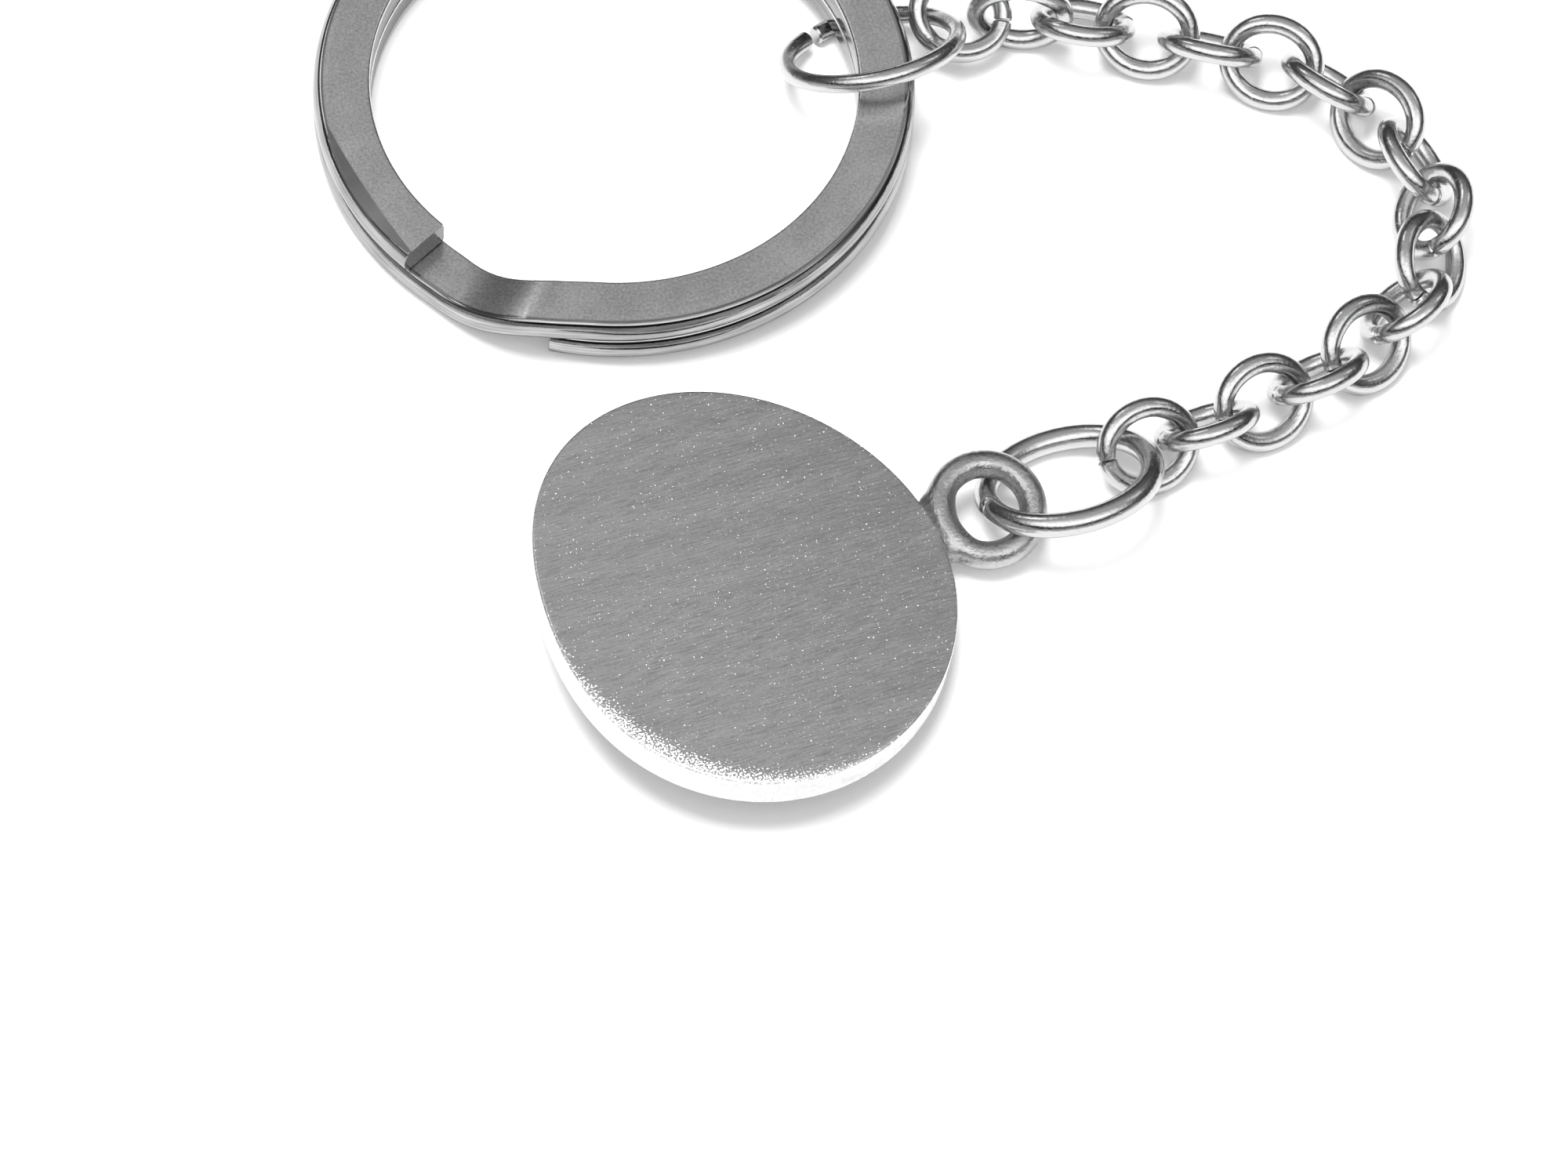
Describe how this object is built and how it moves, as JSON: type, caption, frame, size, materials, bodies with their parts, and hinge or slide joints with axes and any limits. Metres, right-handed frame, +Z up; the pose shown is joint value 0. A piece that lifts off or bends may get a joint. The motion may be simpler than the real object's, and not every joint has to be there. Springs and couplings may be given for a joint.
{
  "type": "key ring with chain and skull pendant",
  "caption": "Steel key ring: flat split ring, open jump ring, cable chain, large oval ring and an oval cast pendant with a soldered eye, a plain brushed back and a skull in relief.",
  "frame": {"origin": "on the table under the middle of the whole part, as it lies", "axes": "+X to the right and +Y away in the picture, +Z up from the table; the split ring lies at -X +Y, the chain arcs round by +X and the pendant lies at -Y"},
  "size_m": [0.0582, 0.0552, 0.0059],
  "materials": {
    "ring_steel": "satin on the flat faces, polished on the rounded outer wall",
    "chain_steel": "polished round wire",
    "eye_steel": "polished, with dull solder",
    "pendant_steel": "fine straight brushing on the back, polished edge"
  },
  "bodies": {
    "split_ring": {"split_ring": "ring_steel"},
    "jump_ring": {"jump_ring": "chain_steel"},
    "chain_link_01": {"chain_link_01": "chain_steel"},
    "chain_link_02": {"chain_link_02": "chain_steel"},
    "chain_link_03": {"chain_link_03": "chain_steel"},
    "chain_link_04": {"chain_link_04": "chain_steel"},
    "chain_link_05": {"chain_link_05": "chain_steel"},
    "chain_link_06": {"chain_link_06": "chain_steel"},
    "chain_link_07": {"chain_link_07": "chain_steel"},
    "chain_link_08": {"chain_link_08": "chain_steel"},
    "chain_link_09": {"chain_link_09": "chain_steel"},
    "chain_link_10": {"chain_link_10": "chain_steel"},
    "chain_link_11": {"chain_link_11": "chain_steel"},
    "chain_link_12": {"chain_link_12": "chain_steel"},
    "chain_link_13": {"chain_link_13": "chain_steel"},
    "chain_link_14": {"chain_link_14": "chain_steel"},
    "chain_link_15": {"chain_link_15": "chain_steel"},
    "chain_link_16": {"chain_link_16": "chain_steel"},
    "chain_link_17": {"chain_link_17": "chain_steel"},
    "oval_ring": {"oval_ring": "chain_steel"},
    "pendant_and_eye": {"pendant": "pendant_steel", "soldered_eye": "eye_steel"}
  },
  "joints": [
    {"name": "jump_ring_travel", "type": "hinge", "parent": "split_ring", "child": "jump_ring", "pos_m": [-0.01408, 0.01257, 0.00067], "axis": [-0.0367, -0.0257, 0.999], "continuous": true},
    {"name": "chain_link_01_swing", "type": "hinge", "parent": "jump_ring", "child": "chain_link_01", "pos_m": [0.00152, 0.01979, 0.00245], "axis": [0.6009, -0.5693, 0.561], "range_deg": [-60, 60]},
    {"name": "chain_link_02_swing", "type": "hinge", "parent": "chain_link_01", "child": "chain_link_02", "pos_m": [0.00464, 0.02046, 0.00211], "axis": [-0.005, 0.8485, 0.5291], "range_deg": [-12, 45]},
    {"name": "chain_link_03_swing", "type": "hinge", "parent": "chain_link_02", "child": "chain_link_03", "pos_m": [0.00769, 0.02089, 0.00237], "axis": [-0.0352, -0.0429, -0.9985], "range_deg": [-30, 7]},
    {"name": "chain_link_04_swing", "type": "hinge", "parent": "chain_link_03", "child": "chain_link_04", "pos_m": [0.01085, 0.02138, 0.00185], "axis": [-0.1957, 0.8324, -0.5185], "range_deg": [-60, 60]},
    {"name": "chain_link_05_swing", "type": "hinge", "parent": "chain_link_04", "child": "chain_link_05", "pos_m": [0.01417, 0.02081, 0.00216], "axis": [-0.0362, -0.6566, -0.7534], "range_deg": [-60, 60]},
    {"name": "chain_link_06_swing", "type": "hinge", "parent": "chain_link_05", "child": "chain_link_06", "pos_m": [0.01743, 0.02053, 0.00189], "axis": [-0.0616, -0.7044, 0.7071], "range_deg": [-60, 60]},
    {"name": "chain_link_07_swing", "type": "hinge", "parent": "chain_link_06", "child": "chain_link_07", "pos_m": [0.02058, 0.01991, 0.00189], "axis": [0.1349, 0.6941, 0.7071], "range_deg": [-60, 60]},
    {"name": "chain_link_08_swing", "type": "hinge", "parent": "chain_link_07", "child": "chain_link_08", "pos_m": [0.0233, 0.01834, 0.00189], "axis": [-0.3536, -0.6124, 0.7071], "range_deg": [-6, 60]},
    {"name": "chain_link_09_swing", "type": "hinge", "parent": "chain_link_08", "child": "chain_link_09", "pos_m": [0.02562, 0.01618, 0.00189], "axis": [-0.4822, -0.5171, -0.7071], "range_deg": [-60, 6]},
    {"name": "chain_link_10_swing", "type": "hinge", "parent": "chain_link_09", "child": "chain_link_10", "pos_m": [0.02705, 0.01338, 0.00189], "axis": [-0.63, -0.321, 0.7071], "range_deg": [-6, 60]},
    {"name": "chain_link_11_swing", "type": "hinge", "parent": "chain_link_10", "child": "chain_link_11", "pos_m": [0.02743, 0.01026, 0.00189], "axis": [-0.7018, -0.0862, -0.7071], "range_deg": [-60, 6]},
    {"name": "chain_link_12_swing", "type": "hinge", "parent": "chain_link_11", "child": "chain_link_12", "pos_m": [0.02667, 0.00722, 0.00189], "axis": [0.6861, -0.1711, -0.7071], "range_deg": [-60, 6]},
    {"name": "chain_link_13_swing", "type": "hinge", "parent": "chain_link_12", "child": "chain_link_13", "pos_m": [0.02505, 0.00452, 0.00189], "axis": [-0.6061, 0.3642, -0.7071], "range_deg": [-60, 60]},
    {"name": "chain_link_14_swing", "type": "hinge", "parent": "chain_link_13", "child": "chain_link_14", "pos_m": [0.02292, 0.00215, 0.00189], "axis": [0.5255, -0.4731, -0.7071], "range_deg": [-60, 60]},
    {"name": "chain_link_15_swing", "type": "hinge", "parent": "chain_link_14", "child": "chain_link_15", "pos_m": [0.02047, 0.0001, 0.00189], "axis": [-0.4545, 0.5417, -0.7071], "range_deg": [-60, 60]},
    {"name": "chain_link_16_swing", "type": "hinge", "parent": "chain_link_15", "child": "chain_link_16", "pos_m": [0.01784, -0.00175, 0.00189], "axis": [0.4056, -0.5792, -0.7071], "range_deg": [-60, 60]},
    {"name": "chain_link_17_swing", "type": "hinge", "parent": "chain_link_16", "child": "chain_link_17", "pos_m": [0.01513, -0.00351, 0.00189], "axis": [0.3851, -0.593, 0.7071], "range_deg": [-60, 60]},
    {"name": "oval_ring_swing", "type": "hinge", "parent": "chain_link_17", "child": "oval_ring", "pos_m": [0.01233, -0.00512, 0.00189], "axis": [-0.3536, 0.6124, 0.7071], "range_deg": [-60, 35]},
    {"name": "pendant_and_eye_swing", "type": "hinge", "parent": "oval_ring", "child": "pendant_and_eye", "pos_m": [0.00704, -0.00892, 0.00204], "axis": [-0.4497, 0.7836, -0.4287], "range_deg": [-12, 11]}
  ]
}
